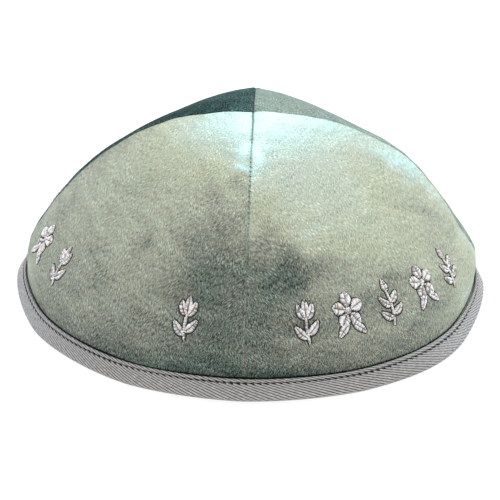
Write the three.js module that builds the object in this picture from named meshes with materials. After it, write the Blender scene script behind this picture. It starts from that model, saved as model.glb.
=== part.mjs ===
// A four-panel velvet skullcap. Four curved gores are sewn into a dome that is squarish near the top
// and round at the rim, and a twill ribbon is folded over the rim as its binding.
// Millimetres, +Z up. The rim stands on z = 0, the dome's axis is Z and the front seam faces -Y.
import * as THREE from "three";

// Driving dimensions
const clothThickness = 1.6; // velvet, interfacing and backing together
const ribbonThickness = 1;
const pieceGap = 0.3; // between neighbouring cloth faces
const sideSeamLift = 3.6; // how far the rim rises off the table at the left and right seams
const endSeamLift = 1.2; // the same at the front and back seams
const liftFadeHeight = 40; // above this height the rim's wave is gone
const liftOnset = 0.3; // the nearer this is to 1, the longer the rim's flat stretches between the lifts

// The crown's outer face, one row for each section from the rim to the top.
// seamRadius is the dome's radius at a seam. bow is 1 where the section between two seams is an arc
// of the full circle, and near 0 where it is almost the straight chord from seam to seam.
const crownRows = [
  { height: 1.4, seamRadius: 86.8, bow: 0.95 },
  { height: 7.6, seamRadius: 84.0, bow: 0.99 },
  { height: 18.6, seamRadius: 83.6, bow: 0.93 },
  { height: 31.0, seamRadius: 77.6, bow: 0.86 },
  { height: 44.2, seamRadius: 68.2, bow: 0.71 },
  { height: 55.9, seamRadius: 56.3, bow: 0.54 },
  { height: 64.8, seamRadius: 42.6, bow: 0.39 },
  { height: 70.5, seamRadius: 28.4, bow: 0.31 },
  { height: 72.9, seamRadius: 14.0, bow: 0.25 },
  { height: 73.4, seamRadius: 0.0, bow: 0.22 },
];

// Shallow dents of the soft cloth, and swells where the depth is below zero.
// azimuth is in degrees from +X towards +Y, so the front seam is at -90.
const dents = [
  { azimuth: -103, height: 27, halfWidth: 11, halfHeight: 15, depth: 1.0 },
  { azimuth: -77, height: 24, halfWidth: 10, halfHeight: 13, depth: 0.9 },
  { azimuth: -52, height: 33, halfWidth: 12, halfHeight: 9, depth: 0.7 },
  { azimuth: -136, height: 22, halfWidth: 16, halfHeight: 8, depth: 0.6 },
  { azimuth: 2, height: 44, halfWidth: 26, halfHeight: 8, depth: -0.4 },
  { azimuth: 0, height: 28, halfWidth: 14, halfHeight: 6, depth: 0.7 },
  { azimuth: 2, height: 15, halfWidth: 24, halfHeight: 8, depth: -0.9 },
  { azimuth: -38, height: 2, halfWidth: 24, halfHeight: 6, depth: -2.2 },
  { azimuth: -150, height: 2, halfWidth: 16, halfHeight: 6, depth: -0.7 },
  { azimuth: 62, height: 28, halfWidth: 14, halfHeight: 12, depth: 0.8 },
  { azimuth: 118, height: 34, halfWidth: 12, halfHeight: 10, depth: 0.7 },
  { azimuth: 176, height: 36, halfWidth: 14, halfHeight: 8, depth: 0.6 },
];

// Mesh fineness
const panelColumns = 14; // along a panel from seam to seam
const stepsPerRow = 2; // mesh rows for each row of the table
const ringSegments = 4 * panelColumns;

const lastStep = crownRows.length - 1;

// The point of the table's smooth curve at a step that may lie between two rows, as [seamRadius, height, bow].
// Past the top the curve goes down the other side, which keeps the top level.
function rowAt(index) {
  if (index < 0) {
    const [first, second] = [rowAt(0), rowAt(1)];
    return first.map((value, k) => 2 * value - second[k]);
  }
  if (index > lastStep) {
    const [seamRadius, height, bow] = rowAt(2 * lastStep - index);
    return [-seamRadius, height, bow];
  }
  const row = crownRows[index];
  return [row.seamRadius, row.height, row.bow];
}

function profileAt(step) {
  const index = Math.min(Math.max(Math.floor(step), 0), lastStep - 1);
  const t = step - index;
  const [a, b, c, d] = [index - 1, index, index + 1, index + 2].map(rowAt);
  return b.map(
    (value, k) =>
      value +
      0.5 * t * (c[k] - a[k] +
        t * (2 * a[k] - 5 * value + 4 * c[k] - d[k] +
          t * (3 * (value - c[k]) + d[k] - a[k]))),
  );
}

// The curve's unit direction up the dome in the seam's plane, as [radial, vertical].
function profileDirection(step) {
  const small = 0.01;
  const below = profileAt(Math.max(step - small, 0));
  const above = profileAt(Math.min(step + small, lastStep));
  const [radial, vertical] = [above[0] - below[0], above[1] - below[1]];
  const length = Math.hypot(radial, vertical);
  return step >= lastStep ? [-1, 0] : [radial / length, vertical / length];
}

// A section's point at a turn from one seam (0) to the next (1): an arc between two points at right
// angles, bowed out from their chord. The result is [x, y] in the panel's own quarter.
function sectionPoint(seamRadius, bow, turn) {
  const chordMiddle = seamRadius * Math.SQRT1_2;
  const rise = bow * (seamRadius - chordMiddle);
  if (rise < 1e-6) return [seamRadius * (1 - turn), seamRadius * turn];
  const arcRadius = (chordMiddle ** 2 + rise ** 2) / (2 * rise);
  const arcCentre = chordMiddle + rise - arcRadius;
  const halfAngle = Math.atan2(chordMiddle, chordMiddle - arcCentre);
  const angle = (2 * turn - 1) * halfAngle;
  const [along, across] = [arcCentre + arcRadius * Math.cos(angle), arcRadius * Math.sin(angle)];
  return [(along - across) * Math.SQRT1_2, (along + across) * Math.SQRT1_2];
}

// How far the rim's wave lifts a point. It rests in the middle of each panel and rises at the seams.
function rimLift(azimuth, height) {
  const nearSeam = Math.max(0, (Math.cos(2 * azimuth) ** 2 - liftOnset) / (1 - liftOnset));
  const amount = sideSeamLift * Math.cos(azimuth) ** 2 + endSeamLift * Math.sin(azimuth) ** 2;
  const fade = Math.max(0, 1 - height / liftFadeHeight) ** 2;
  return amount * nearSeam * fade;
}

// How far the dents push a point in towards the axis.
function dentDepth(azimuth, radius, height) {
  let depth = 0;
  for (const dent of dents) {
    const turn = azimuth - THREE.MathUtils.degToRad(dent.azimuth);
    const across = Math.atan2(Math.sin(turn), Math.cos(turn)) * radius;
    const up = height - dent.height;
    depth += dent.depth * Math.exp(-((across / dent.halfWidth) ** 2) - (up / dent.halfHeight) ** 2);
  }
  return depth;
}

// A point of the crown. depth goes in from the outer face, and along goes up the cloth past the step.
function crownPoint({ quarter, turn, step, depth = 0, along = 0, seamInset = 0 }) {
  const [seamRadius, height, bow] = profileAt(step);
  const [radialUp, verticalUp] = profileDirection(step);
  const radius = Math.max(seamRadius - depth * verticalUp + along * radialUp - seamInset, 0);
  const z = height + depth * radialUp + along * verticalUp;
  const [x, y] = sectionPoint(radius, bow, turn);
  const point = new THREE.Vector3(x + seamInset, y + seamInset, z);
  point.applyAxisAngle(new THREE.Vector3(0, 0, 1), (quarter * Math.PI) / 2);
  const azimuth = Math.atan2(point.y, point.x);
  const reach = Math.hypot(point.x, point.y);
  const pushed = Math.max(reach - dentDepth(azimuth, reach, z), 0) / Math.max(reach, 1e-9);
  point.x *= pushed;
  point.y *= pushed;
  point.z = Math.max(z + rimLift(azimuth, z), 0); // the rim is flattened where it rests
  return point;
}

// A geometry from points and from triangles that name them by index.
function geometryFrom(points, triangles) {
  const geometry = new THREE.BufferGeometry().setFromPoints(points);
  geometry.setIndex(triangles.flat());
  geometry.computeVertexNormals();
  return geometry;
}

// Two triangles for each cell of a grid of points. indexAt(row, column) gives a point's index.
function gridTriangles(indexAt, rows, columns, flipped) {
  const triangles = [];
  for (let row = 0; row < rows; row++) {
    for (let column = 0; column < columns; column++) {
      const [a, b] = [indexAt(row, column), indexAt(row, column + 1)];
      const [c, d] = [indexAt(row + 1, column + 1), indexAt(row + 1, column)];
      for (const [p, q, r] of [[a, b, c], [a, c, d]]) {
        if (p === q || q === r || r === p) continue; // a row that has shrunk to the top point
        triangles.push(flipped ? [p, r, q] : [p, q, r]);
      }
    }
  }
  return triangles;
}

// One velvet gore: an outer and an inner face that share the same rows, closed along its four edges.
function panelGeometry(quarter) {
  const rows = lastStep * stepsPerRow;
  const points = [];
  const faceIndex = [0, clothThickness].map((depth) => {
    const indices = [];
    for (let row = 0; row <= rows; row++) {
      const step = row / stepsPerRow;
      const columns = row === rows ? 0 : panelColumns;
      indices.push([]);
      for (let column = 0; column <= columns; column++) {
        indices[row].push(points.length);
        const turn = column / panelColumns;
        points.push(crownPoint({ quarter, turn, step, depth, seamInset: pieceGap / 2 }));
      }
    }
    return (row, column) => indices[row][Math.min(column, indices[row].length - 1)];
  });
  const [outer, inner] = faceIndex;
  const hem = (row, column) => (row ? inner(0, column) : outer(0, column));
  const firstSeam = (row, column) => (column ? outer(row, 0) : inner(row, 0));
  const secondSeam = (row, column) => (column ? inner : outer)(row, panelColumns);
  return geometryFrom(points, [
    ...gridTriangles(outer, rows, panelColumns, false),
    ...gridTriangles(inner, rows, panelColumns, true),
    ...gridTriangles(hem, 1, panelColumns, true),
    ...gridTriangles(firstSeam, rows, 1, false),
    ...gridTriangles(secondSeam, rows, 1, false),
  ]);
}

// The binding's section: down the ribbon's outer face, round the fold, up the inside and back down
// the channel that holds the cloth. Each entry is a depth and a distance along the cloth from its edge.
function bindingSection() {
  const outerFlap = 7.2; // length of the ribbon's flap over the velvet
  const innerFlap = 7.2; // and under it, inside the cap
  const flapPoints = 4;
  const foldPoints = 6;
  const outerDepth = -(pieceGap + ribbonThickness);
  const innerDepth = clothThickness + pieceGap + ribbonThickness;
  const section = [];
  const addFace = (depth, from, to) => {
    for (let k = 0; k < flapPoints; k++)
      section.push({ depth, along: THREE.MathUtils.lerp(from, to, k / (flapPoints - 1)) });
  };
  addFace(outerDepth, outerFlap, 0);
  for (let k = 0; k <= foldPoints; k++) {
    const angle = (k / foldPoints) * Math.PI;
    const middle = (outerDepth + innerDepth) / 2;
    const halfWidth = (innerDepth - outerDepth) / 2;
    section.push({
      depth: middle - halfWidth * Math.cos(angle),
      along: -pieceGap - ribbonThickness * Math.sin(angle),
    });
  }
  addFace(innerDepth, 0, innerFlap);
  addFace(clothThickness + pieceGap, innerFlap, -pieceGap);
  addFace(-pieceGap, -pieceGap, outerFlap);
  return section;
}

// The distance along the cloth from its edge is turned into a step of the table, so that the ribbon
// follows the cloth, and below the edge it carries straight on.
function stepAlong(distance) {
  const [first, second] = [profileAt(0), profileAt(1)];
  const rowLength = Math.hypot(second[0] - first[0], second[1] - first[1]);
  const step = Math.max(distance, 0) / rowLength;
  return { step, along: Math.min(distance, 0) };
}

function bindingGeometry() {
  const section = bindingSection();
  const points = [];
  for (let segment = 0; segment < ringSegments; segment++) {
    const quarter = Math.floor(segment / panelColumns);
    const turn = (segment % panelColumns) / panelColumns;
    for (const { depth, along } of section)
      points.push(crownPoint({ quarter, turn, depth, ...stepAlong(along) }));
  }
  const around = (row, column) =>
    (row % ringSegments) * section.length + (column % section.length);
  return geometryFrom(points, gridTriangles(around, ringSegments, section.length, false));
}

const velvet = new THREE.MeshStandardMaterial({ color: 0x97a08e, roughness: 0.95, metalness: 0 });
const twill = new THREE.MeshStandardMaterial({ color: 0x96948f, roughness: 0.8, metalness: 0 });

const skullcap = new THREE.Group();

// Quarters run counter-clockwise from +X, so the first lies between the right and the back seam.
const panelNames = ["panel_back_right", "panel_back_left", "panel_front_left", "panel_front_right"];
panelNames.forEach((name, quarter) => {
  const panel = new THREE.Mesh(panelGeometry(quarter), velvet);
  panel.name = name;
  skullcap.add(panel);
});

const binding = new THREE.Mesh(bindingGeometry(), twill);
binding.name = "rim_binding";
skullcap.add(binding);

export default skullcap;
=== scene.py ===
import math
import random
from functools import cache

import bmesh
import bpy
from mathutils import Matrix, Vector, noise


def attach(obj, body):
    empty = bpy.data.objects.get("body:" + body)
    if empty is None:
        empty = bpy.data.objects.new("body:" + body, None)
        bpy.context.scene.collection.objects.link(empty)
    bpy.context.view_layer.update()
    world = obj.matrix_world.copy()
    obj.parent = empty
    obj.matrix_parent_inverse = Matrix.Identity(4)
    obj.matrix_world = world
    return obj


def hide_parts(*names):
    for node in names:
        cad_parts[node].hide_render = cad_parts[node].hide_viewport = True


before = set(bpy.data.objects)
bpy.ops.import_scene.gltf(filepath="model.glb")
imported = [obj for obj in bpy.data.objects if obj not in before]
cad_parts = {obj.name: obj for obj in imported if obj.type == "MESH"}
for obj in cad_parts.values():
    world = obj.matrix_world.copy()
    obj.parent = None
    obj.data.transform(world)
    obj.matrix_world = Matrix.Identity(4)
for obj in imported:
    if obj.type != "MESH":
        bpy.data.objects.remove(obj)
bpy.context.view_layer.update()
mm = 0.001
print("frame loaded:", ", ".join(sorted(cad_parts)))


# A soft round patch on the dome: its place in degrees from +X towards +Y and in mm up from the table,
# its half width and half height in mm, and its amount in the middle.
def patch(azimuth, height, halfWidth, halfHeight, amount):
    return dict(azimuth=azimuth, height=height, halfWidth=halfWidth, halfHeight=halfHeight, amount=amount)


# The crown's shape, in mm and degrees. A bow of 1 makes the section between two seams a full arc.
crown = {
    "clothThickness": 1.6,
    "sideSeamLift": 3.6,  # how far the rim rises off the table at the side seams
    "endSeamLift": 1.2,
    "liftFadeHeight": 40,
    "liftOnset": 0.3,
    "rows": [
        dict(height=1.4, seamRadius=86.8, bow=0.95),
        dict(height=7.6, seamRadius=84.0, bow=0.99),
        dict(height=18.6, seamRadius=83.6, bow=0.93),
        dict(height=31.0, seamRadius=77.6, bow=0.86),
        dict(height=44.2, seamRadius=68.2, bow=0.71),
        dict(height=55.9, seamRadius=56.3, bow=0.54),
        dict(height=64.8, seamRadius=42.6, bow=0.39),
        dict(height=70.5, seamRadius=28.4, bow=0.31),
        dict(height=72.9, seamRadius=14.0, bow=0.25),
        dict(height=73.4, seamRadius=0.0, bow=0.22),
    ],
    "dents": [  # an amount is a depth in mm, and one below zero is a swell
        patch(-103, 27, 11, 15, 1.0),
        patch(-77, 24, 10, 13, 0.9),
        patch(-52, 33, 12, 9, 0.7),
        patch(-136, 22, 16, 8, 0.6),
        patch(2, 44, 26, 8, -0.4),
        patch(0, 28, 14, 6, 0.7),
        patch(2, 15, 24, 8, -0.9),
        patch(-38, 2, 24, 6, -2.2),
        patch(-150, 2, 16, 6, -0.7),
        patch(62, 28, 14, 12, 0.8),
        patch(118, 34, 12, 10, 0.7),
        patch(176, 36, 14, 8, 0.6),
    ],
}
lastStep = len(crown["rows"]) - 1
quarterTurns = [Matrix.Rotation(quarter * math.pi / 2, 3, "Z") for quarter in range(4)]


def rowAt(index):
    if index < 0:
        return [2 * first - second for first, second in zip(rowAt(0), rowAt(1))]
    if index > lastStep:  # past the top the curve goes down the other side
        seamRadius, height, bow = rowAt(2 * lastStep - index)
        return [-seamRadius, height, bow]
    row = crown["rows"][index]
    return [row["seamRadius"] * mm, row["height"] * mm, row["bow"]]


rowTable = {index: rowAt(index) for index in range(-1, lastStep + 2)}


# A smooth curve through the rows, as seam radius, height and bow at a step that may lie between two.
@cache
def profileAt(step):
    index = min(max(math.floor(step), 0), lastStep - 1)
    t = step - index
    corners = [rowTable[index + k] for k in (-1, 0, 1, 2)]
    return [
        b + 0.5 * t * (c - a + t * (2 * a - 5 * b + 4 * c - d + t * (3 * (b - c) + d - a)))
        for a, b, c, d in zip(*corners)
    ]


@cache
def profileDirection(step, small=0.01):
    if step >= lastStep:
        return -1.0, 0.0
    below = profileAt(max(step - small, 0))
    above = profileAt(min(step + small, lastStep))
    radial, vertical = above[0] - below[0], above[1] - below[1]
    length = math.hypot(radial, vertical)
    return radial / length, vertical / length


# A section's point at a turn from one seam (0) to the next (1), in the panel's own quarter.
def sectionPoint(seamRadius, bow, turn):
    chordMiddle = seamRadius * math.sqrt(0.5)
    rise = bow * (seamRadius - chordMiddle)
    if rise < 1e-9:
        return seamRadius * (1 - turn), seamRadius * turn
    arcRadius = (chordMiddle**2 + rise**2) / (2 * rise)
    arcCentre = chordMiddle + rise - arcRadius
    halfAngle = math.atan2(chordMiddle, chordMiddle - arcCentre)
    angle = (2 * turn - 1) * halfAngle
    outwards = arcCentre + arcRadius * math.cos(angle)
    sideways = arcRadius * math.sin(angle)
    return (outwards - sideways) * math.sqrt(0.5), (outwards + sideways) * math.sqrt(0.5)


def rimLift(azimuth, height):
    fade = max(0, 1 - height / (crown["liftFadeHeight"] * mm)) ** 2
    nearSeam = max(0, (math.cos(2 * azimuth) ** 2 - crown["liftOnset"]) / (1 - crown["liftOnset"]))
    sideShare = math.cos(azimuth) ** 2
    amount = crown["sideSeamLift"] * sideShare + crown["endSeamLift"] * (1 - sideShare)
    return amount * mm * nearSeam * fade


def patchSum(patches, azimuth, radius, height):
    total = 0
    for each in patches:
        turned = (azimuth - math.radians(each["azimuth"]) + math.pi) % (2 * math.pi) - math.pi
        across = turned * radius / mm
        up = height / mm - each["height"]
        spread = (across / each["halfWidth"]) ** 2 + (up / each["halfHeight"]) ** 2
        if spread < 9:  # farther out a patch adds next to nothing
            total += each["amount"] * math.exp(-spread)
    return total


def crownPoint(quarter, turn, step, depth=0, along=0, seamInset=0):
    seamRadius, height, bow = profileAt(step)
    radialUp, verticalUp = profileDirection(step)
    radius = max(seamRadius - depth * verticalUp + along * radialUp - seamInset, 0)
    z = height + depth * radialUp + along * verticalUp
    x, y = sectionPoint(radius, bow, turn)
    point = quarterTurns[quarter] @ Vector((x + seamInset, y + seamInset, z))
    azimuth = math.atan2(point.y, point.x)
    reach = math.hypot(point.x, point.y)
    pushed = patchSum(crown["dents"], azimuth, reach, z) * mm
    scale = max(reach - pushed, 0) / max(reach, 1e-9)
    return Vector((point.x * scale, point.y * scale, max(z + rimLift(azimuth, z), 0)))


def crownNormal(quarter, turn, step):
    turn = min(max(turn, 0.01), 0.99)
    step = min(max(step, 0.02), lastStep - 0.05)
    acrossCloth = crownPoint(quarter, turn + 0.005, step) - crownPoint(quarter, turn - 0.005, step)
    upCloth = crownPoint(quarter, turn, step + 0.01) - crownPoint(quarter, turn, step - 0.01)
    return acrossCloth.cross(upCloth).normalized()


# Lengths along the cloth: from its edge up the seam to each step, and across a panel at a step.
def buildArcTable(parts=40):
    table, length, last = [0.0], 0.0, profileAt(0)
    for index in range(1, lastStep * parts + 1):
        here = profileAt(index / parts)
        length += math.hypot(here[0] - last[0], here[1] - last[1])
        table.append(length)
        last = here
    return table, parts


arcTable, arcParts = buildArcTable()


@cache
def arcAtStep(step):
    place = min(max(step * arcParts, 0), len(arcTable) - 1.001)
    index = int(place)
    return arcTable[index] + (place - index) * (arcTable[index + 1] - arcTable[index])


@cache
def stepAtArc(arc):
    low, high = 0, len(arcTable) - 1
    while high - low > 1:
        middle = (low + high) // 2
        low, high = (middle, high) if arcTable[middle] <= arc else (low, middle)
    return (low + (arc - arcTable[low]) / (arcTable[high] - arcTable[low])) / arcParts


@cache
def panelWidth(step):
    seamRadius, height, bow = profileAt(step)
    return seamRadius * (math.sqrt(2) + bow * (math.pi / 2 - math.sqrt(2)))


# The cloth's own relief over the crown's shape, in mm.
relief = {
    "rollWidth": 1.0,  # the cloth rolls into the seam over this width
    "rollDepth": 0.6,
    "pullWidth": 5.5,  # and is pulled down a little beside it
    "pullDepth": 0.2,
    "puckerDepth": 0.3,
    "puckerLength": 6.5,
    "puckerStart": (7.3, 1.9, 4.1),  # where in the noise the puckers start
    "swayDepth": 0.3,  # a hand-guided seam wanders by this much
    "swayLength": 9,
    "swayWidth": 4,
    "hemArc": 7.2,  # the ribbon's upper edge, from the cloth's edge
    "hemDepth": 0.15,
    "hemWidth": 2.6,
    "seamGap": 0.04,  # sewn edges touch
    "waves": [dict(length=27, depth=0.55), dict(length=9, depth=0.16)],
    "fullness": [  # where the cloth stands fuller than the crown's shape, or flatter
        patch(91, 68, 26, 4, 1.0),
        patch(3, 56, 15, 9, 1.6),
        patch(14, 29, 12, 12, -0.5),
        patch(4, 27, 14, 6, 0.4),
        patch(4, 43, 14, 6, -0.4),
        patch(2, 18, 18, 6, 0.6),
        patch(178, 18, 18, 5, 0.4),
        patch(160, 54, 12, 13, -0.5),
        patch(-177, 53, 11, 14, -1.0),
        patch(0, 9, 24, 6, 0.8),  # over the ribbon's flare
        patch(180, 9, 24, 6, 0.8),
    ],
}


# How far the cloth stands off the crown's shape, outwards and round the cap.
def clothRelief(point, quarter, turn, step):
    place = point / mm
    arc = arcAtStep(step) / mm
    seamDistance = min(turn, 1 - turn) * panelWidth(step) / mm
    depth = relief["pullDepth"] * math.exp(-((seamDistance / relief["pullWidth"]) ** 2))
    if seamDistance < relief["rollWidth"]:
        inwards = 1 - seamDistance / relief["rollWidth"]
        depth += relief["rollDepth"] * (1 - math.sqrt(max(1 - inwards**2, 0)))
    nearSeam = math.exp(-((seamDistance / (2 * relief["puckerLength"])) ** 2))
    pucker = noise.noise(place / relief["puckerLength"] + Vector(relief["puckerStart"]))
    depth += relief["puckerDepth"] * pucker * nearSeam
    depth += relief["hemDepth"] * math.exp(-(((arc - relief["hemArc"]) / relief["hemWidth"]) ** 2))
    for wave in relief["waves"]:
        depth += wave["depth"] * noise.noise(place / wave["length"])
    azimuth, reach = math.atan2(point.y, point.x), math.hypot(point.x, point.y)
    depth -= patchSum(relief["fullness"], azimuth, reach, point.z)
    seam = (quarter + round(turn)) % 4
    sway = relief["swayDepth"] * noise.noise(Vector((seam * 5.7, arc / relief["swayLength"], 0.4)))
    sway *= math.exp(-((seamDistance / relief["swayWidth"]) ** 2))
    return -depth * mm, sway * mm


def roundTheCap(point):
    return Vector((-point.y, point.x, 0)).normalized()


# The visible face of the velvet, relief included, and its outward normal.
def clothFace(quarter, turn, step):
    base = crownPoint(quarter, turn, step, seamInset=relief["seamGap"] / 2 * mm)
    normal = crownNormal(quarter, turn, step)
    outwards, sideways = clothRelief(base, quarter, turn, step)
    return base + normal * outwards + roundTheCap(base) * sideways, normal


# Meshes and materials
def finishMesh(bm, name, materials, smooth=True):
    mesh = bpy.data.meshes.new(name)
    for face in bm.faces:
        face.smooth = smooth
    bm.to_mesh(mesh)
    bm.free()
    for material in materials:
        mesh.materials.append(material)
    piece = bpy.data.objects.new(name, mesh)
    bpy.context.scene.collection.objects.link(piece)
    return piece


def toLinear(hexColour, alpha=1.0):
    parts = [int(hexColour[k : k + 2], 16) / 255 for k in (1, 3, 5)]
    return [p / 12.92 if p <= 0.04045 else ((p + 0.055) / 1.055) ** 2.4 for p in parts] + [alpha]


# Adds a node. An input is linked to a node's first output or to a socket, and any other value is set.
# A ramp's stops are places and hex colours.
def addNode(tree, kind, inputs=None, stops=(), **settings):
    node = tree.nodes.new(kind)
    for name, value in settings.items():
        setattr(node, name, value)
    for key, value in (inputs or {}).items():
        if isinstance(value, bpy.types.Node):
            value = value.outputs[0]
        if isinstance(value, bpy.types.NodeSocket):
            tree.links.new(value, node.inputs[key])
        else:
            node.inputs[key].default_value = value
    for number, (position, hexColour) in enumerate(stops):
        elements = node.color_ramp.elements
        element = elements[number] if number < 2 else elements.new(position)
        element.position = position
        element.color = toLinear(hexColour)
    return node


def newMaterial(name):
    material = bpy.data.materials.new(name)
    material.use_nodes = True
    material.node_tree.nodes.clear()
    return material, material.node_tree


# Short-pile velvet. Cut pile scatters light along its lean, so it is dark looked at end on and pale
# where it lies away, and its tips give the cool sheen; here that light and shade is painted into the
# colour. The nap value is the tone, from 0 to 1: the pile's own marks with painted light and shade. The
# tufts vary it, while the tint follows the nap value alone: teal painted shade where dark, khaki between,
# and cool mint painted sheen where pale.
velvetLook = {
    "tones": [
        (0.0, "#101010"),
        (0.12, "#262626"),
        (0.3, "#535353"),
        (0.44, "#6f6f6f"),
        (0.6, "#919191"),
        (0.72, "#aaaaaa"),
        (0.79, "#b1b1b1"),
        (0.87, "#c1c1c1"),
        (1.0, "#ececec"),
    ],
    "tints": [
        (0.1, "#c0fff2"),
        (0.3, "#dcfff0"),
        (0.44, "#f8ffee"),
        (0.6, "#fbffe9"),
        (0.72, "#faffe3"),
        (0.79, "#f3fff0"),
        (0.87, "#e3fffa"),
        (1.0, "#e2fdff"),
    ],
    "grainLength": 0.4,  # mm. Real fibres are 0.02 mm thick: drawn as coarse as tufts show
    "marks": [  # noise drawn out to a size in mm and leaning by degrees
        dict(size=(13, 4.5), lean=12, detail=2.0),  # crushed by handling
        dict(size=(0.3, 1.4), lean=20, detail=1.0),  # tufts combed one way
        dict(size=(0.3, 1.4), lean=-24, detail=1.0),  # and the other way
    ],
    "markBend": 0.3,
    "crushEdges": (0.42, 0.58),  # the combing turns between these values of the crush noise
    "contrast": dict(dark=0.35, pale=1.0, atDark=1.1, atPale=0.44),  # dark velvet shows its tufts more
    "hueLength": 0.8,
    "grainShare": 0.6,
    "streakShare": 1.0,
    "crushShare": 0.2,
    "tuftTints": [(0.36, "#f6ffff"), (0.64, "#fffaf4")],
    "shadowTint": "#cfeefb",  # painted teal shade tint: pile that leans away from the light looks teal
    "bumpDepth": 0.1,
    "roughness": 0.85,
    "specular": dict(lit=0.1, shaded=0.05),
    "sheen": dict(lit=0.06, shaded=0.02),  # the shaded copy has less gloss and sheen, so its panel looks darker: painted shade. Pile that leans away shows few bright tips
    "sheenRoughness": 0.4,
    "sheenTint": "#f2fffd",
}


def makeVelvet(name, pile):
    look = velvetLook
    material, tree = newMaterial(name)
    napAndPaintedLight = addNode(tree, "ShaderNodeAttribute", attribute_name="napAndPaintedLight").outputs["Fac"]
    cool = addNode(tree, "ShaderNodeAttribute", attribute_name="cool").outputs["Fac"]
    place = addNode(tree, "ShaderNodeTexCoord").outputs["Object"]
    grain, hue = [
        addNode(tree, "ShaderNodeTexNoise", {"Vector": place, "Scale": 1 / (length * mm), "Detail": 1.0})
        for length in (look["grainLength"], look["hueLength"])
    ]
    cloth = addNode(tree, "ShaderNodeUVMap", uv_map="cloth")
    noises = []
    for mark in look["marks"]:
        inputs = {"Vector": cloth, "Rotation": (0, 0, math.radians(mark["lean"]))}
        turned = addNode(tree, "ShaderNodeMapping", inputs)
        scale = [1 / (length * mm) for length in mark["size"]] + [1]
        drawn = addNode(tree, "ShaderNodeMapping", {"Vector": turned, "Scale": scale})
        inputs = {"Vector": drawn, "Scale": 1.0, "Detail": mark["detail"], "Distortion": look["markBend"]}
        noises.append(addNode(tree, "ShaderNodeTexNoise", inputs, noise_dimensions="2D"))
    crush, combedOneWay, combedOther = noises
    start, end = look["crushEdges"]
    combing = addNode(tree, "ShaderNodeMapRange", {"Value": crush, 1: start, 2: end})
    streak = addNode(tree, "ShaderNodeMix", {"Factor": combing, 2: combedOneWay, 3: combedOther})
    ends = look["contrast"]
    inputs = {"Value": napAndPaintedLight, 1: ends["dark"], 2: ends["pale"], 3: ends["atDark"], 4: ends["atPale"]}
    contrast = addNode(tree, "ShaderNodeMapRange", inputs)
    tone = napAndPaintedLight
    for source, share in ((grain, "grainShare"), (streak, "streakShare"), (crush, "crushShare")):
        centred = addNode(tree, "ShaderNodeMath", {0: source, 1: 0.5}, operation="SUBTRACT")
        scaled = addNode(tree, "ShaderNodeMath", {0: centred, 1: contrast}, operation="MULTIPLY")
        inputs = {0: scaled, 1: look[share], 2: tone}
        tone = addNode(tree, "ShaderNodeMath", inputs, operation="MULTIPLY_ADD")
    colour = addNode(tree, "ShaderNodeValToRGB", {"Fac": tone}, look["tones"])
    napAndPaintedLightTint = addNode(tree, "ShaderNodeValToRGB", {"Fac": napAndPaintedLight}, look["tints"])
    tuftTint = addNode(tree, "ShaderNodeValToRGB", {"Fac": hue}, look["tuftTints"])
    # The tint by nap value paints teal shade where dark and a mint sheen where pale, and the cool share
    # paints a teal shade tint.
    for share, tint in ((1.0, napAndPaintedLightTint), (1.0, tuftTint), (cool, toLinear(look["shadowTint"]))):
        inputs = {"Factor": share, 6: colour, 7: tint}
        mixed = addNode(tree, "ShaderNodeMix", inputs, data_type="RGBA", blend_type="MULTIPLY")
        colour = mixed.outputs[2]
    tufts = addNode(tree, "ShaderNodeMath", {0: grain, 1: streak}, operation="ADD")
    bump = addNode(tree, "ShaderNodeBump", {"Height": tufts, "Distance": look["bumpDepth"] * mm})
    shader = addNode(
        tree,
        "ShaderNodeBsdfPrincipled",
        {
            "Base Color": colour,
            "Roughness": look["roughness"],
            "IOR": 1.5,
            "Specular IOR Level": look["specular"][pile],
            "Sheen Weight": look["sheen"][pile],
            "Sheen Roughness": look["sheenRoughness"],
            "Sheen Tint": toLinear(look["sheenTint"]),
            "Normal": bump,
        },
    )
    addNode(tree, "ShaderNodeOutputMaterial", {"Surface": shader})
    return material


# The velvet's woven back: a plain matt cotton ground, whose threads show as a fine grid.
backLook = {
    "tones": [(0.0, "#676e64"), (1.0, "#b0b6a9")],
    "threadSpacing": 0.6,  # mm. Real threads are about 0.2 mm: drawn as coarse as they show
    "wavePeriod": 0.314,  # a wave texture's own period at a scale of 1
    "threadWander": 1.2,
    "bumpDepth": 0.08,
    "roughness": 0.9,
}


def makeVelvetBack():
    look = backLook
    material, tree = newMaterial("wovenVelvetBack")
    cloth = addNode(tree, "ShaderNodeUVMap", uv_map="cloth")
    scale = look["wavePeriod"] / (look["threadSpacing"] * mm)
    inputs = {"Vector": cloth, "Scale": scale, "Distortion": look["threadWander"]}
    warp, weft = [
        addNode(tree, "ShaderNodeTexWave", inputs, bands_direction=direction).outputs["Fac"]
        for direction in ("X", "Y")
    ]
    woven = addNode(tree, "ShaderNodeMath", {0: warp, 1: weft}, operation="MULTIPLY")
    colour = addNode(tree, "ShaderNodeValToRGB", {"Fac": woven}, look["tones"])
    bump = addNode(tree, "ShaderNodeBump", {"Height": woven, "Distance": look["bumpDepth"] * mm})
    shader = addNode(
        tree,
        "ShaderNodeBsdfPrincipled",
        {"Base Color": colour, "Roughness": look["roughness"], "IOR": 1.5, "Normal": bump},
    )
    addNode(tree, "ShaderNodeOutputMaterial", {"Surface": shader})
    return material
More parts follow.
